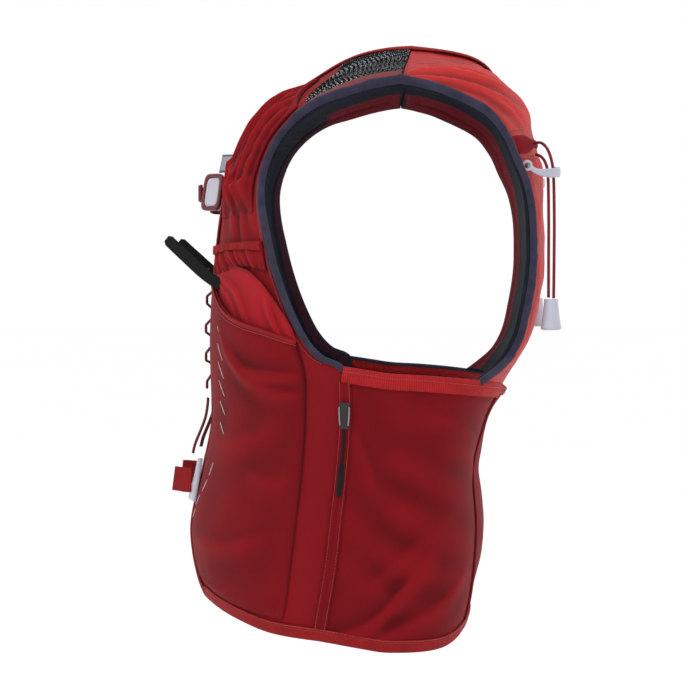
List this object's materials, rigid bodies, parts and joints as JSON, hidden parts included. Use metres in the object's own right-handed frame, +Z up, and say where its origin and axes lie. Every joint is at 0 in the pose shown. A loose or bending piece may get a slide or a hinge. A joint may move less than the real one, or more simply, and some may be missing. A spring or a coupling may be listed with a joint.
{
  "type": "running hydration vest",
  "caption": "Running hydration vest with a padded lining, a back bag, flask and chest pockets, zipped side pockets, a laced front and drawcords, in its worn form.",
  "frame": {"origin": "midway between the two shoulder straps at the height where they sit on the shoulders", "axes": "+X towards the wearer's left, -Y the way the wearer faces, +Z up"},
  "size_m": [0.3368, 0.2925, 0.4394],
  "materials": {
    "lining": "padded navy mesh",
    "stretch_crimson": "matte stretch knit",
    "stretch_bright": "bright stretch knit",
    "bag_nylon": "creased light nylon",
    "spacer_mesh": "open spacer mesh",
    "binding": "stitched elastic tape",
    "piping": "folded slate binding",
    "grey_ribbon": "ribbed ribbon",
    "dark_webbing": "narrow webbing",
    "cord": "braided cord",
    "black_tab": "matte rubber",
    "black_metal": "black zip slider",
    "red_plastic": "moulded",
    "pale_plastic": "moulded, light grey"
  },
  "bodies": {
    "root": {"lining_front_left": "lining", "lining_front_right": "lining", "lining_back": "lining", "lower_back_panel": "stretch_crimson", "front_panel_left": "stretch_bright", "front_panel_right": "stretch_bright", "shoulder_mesh_left": "spacer_mesh", "shoulder_mesh_right": "spacer_mesh", "side_panel_left": "stretch_crimson", "side_panel_right": "stretch_crimson", "back_bag": "bag_nylon", "back_pocket": "stretch_crimson", "back_pocket_binding": "binding", "flask_pocket_left": "stretch_crimson", "flask_pocket_right": "stretch_crimson", "flask_pocket_binding_left": "binding", "flask_pocket_binding_right": "binding", "chest_pocket_left": "stretch_bright", "chest_pocket_right": "stretch_bright", "chest_sleeve_left": "stretch_bright", "chest_sleeve_right": "stretch_bright", "chest_band_left": "binding", "chest_band_right": "binding", "armhole_piping_left": "piping", "armhole_piping_right": "piping", "neck_edging": "binding", "hem_binding": "binding", "zip_tape_left": "binding", "zip_tape_right": "binding", "rear_seam_tape_left": "binding", "rear_seam_tape_right": "binding", "side_top_binding_left": "binding", "side_top_binding_right": "binding", "zip_slider_left": "black_metal", "zip_slider_right": "black_metal", "drawcord_1_left": "cord", "drawcord_1_right": "cord", "drawcord_2_left": "cord", "drawcord_2_right": "cord", "cord_lock_left": "pale_plastic", "cord_lock_right": "pale_plastic", "cord_hook_left": "pale_plastic", "cord_hook_right": "pale_plastic", "ribbon_loop_left": "grey_ribbon", "ribbon_loop_right": "grey_ribbon", "buckle_rim_left": "red_plastic", "buckle_rim_right": "red_plastic", "buckle_face_left": "pale_plastic", "buckle_face_right": "pale_plastic", "sternum_strap": "dark_webbing", "front_lace": "cord", "pull_tab_left": "black_tab", "pull_tab_right": "black_tab", "lower_strap_left": "dark_webbing", "lower_strap_right": "dark_webbing", "edge_clip_left": "pale_plastic", "edge_clip_right": "pale_plastic", "lower_tab_left": "binding", "lower_tab_right": "binding"}
  },
  "joints": []
}
